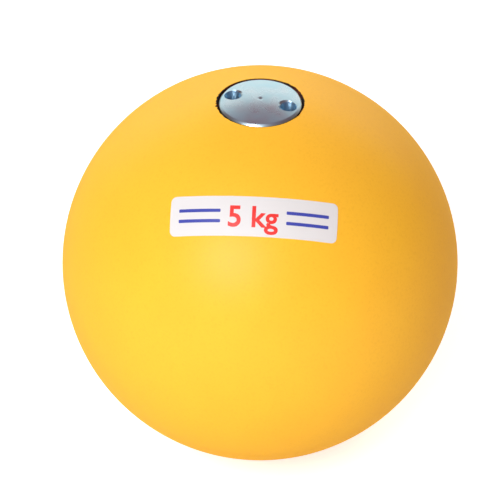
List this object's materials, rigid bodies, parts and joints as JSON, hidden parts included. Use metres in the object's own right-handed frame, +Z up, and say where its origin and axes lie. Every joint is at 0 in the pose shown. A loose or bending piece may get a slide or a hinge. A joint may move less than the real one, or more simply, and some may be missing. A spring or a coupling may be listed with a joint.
{
  "type": "shot put ball",
  "caption": "Round cast-iron throwing ball with a satin powder coat, a flush screw plug that closes its calibration chamber, and a plain label.",
  "frame": {"origin": "the ball's centre", "axes": "+Z up along the calibration chamber, through the middle of the screw plug; the label faces -Y"},
  "size_m": [0.11, 0.11, 0.11],
  "materials": {
    "powder_coat": "satin yellow powder coat on grey cast iron",
    "zinc_plate": "turned steel, zinc-plated and blue-passivated",
    "packing_rubber": "black moulded rubber",
    "plain_steel": "sawn mild steel",
    "poured_lead": "dull cast lead",
    "lead_shot": "tumbled lead pellets",
    "label_vinyl": "white vinyl, semi-gloss"
  },
  "bodies": {
    "ball": {"ball_body": "powder_coat", "lead_core": "poured_lead", "pellet_01": "lead_shot", "pellet_02": "lead_shot", "pellet_03": "lead_shot", "pellet_04": "lead_shot", "pellet_05": "lead_shot", "pellet_06": "lead_shot", "pellet_07": "lead_shot", "pellet_08": "lead_shot", "pellet_09": "lead_shot", "pellet_10": "lead_shot", "pellet_11": "lead_shot", "pellet_12": "lead_shot", "pellet_13": "lead_shot", "pellet_14": "lead_shot", "pressure_disc": "plain_steel", "label": "label_vinyl"},
    "packing": {"packing_disc": "packing_rubber"},
    "plug": {"closing_plug": "zinc_plate"}
  },
  "joints": [
    {"name": "plug_rise", "type": "slide", "parent": "ball", "child": "packing", "axis": [0, 0, 1], "range_m": [0, 0.016]},
    {"name": "plug_turn", "type": "hinge", "parent": "packing", "child": "plug", "pos_m": [0, 0, 0.047], "axis": [0, 0, 1], "range_deg": [0, 2880]}
  ],
  "couplings": [
    {"joint": "plug_rise", "follows": "plug_turn", "m_per_rad": 0.00031831}
  ]
}
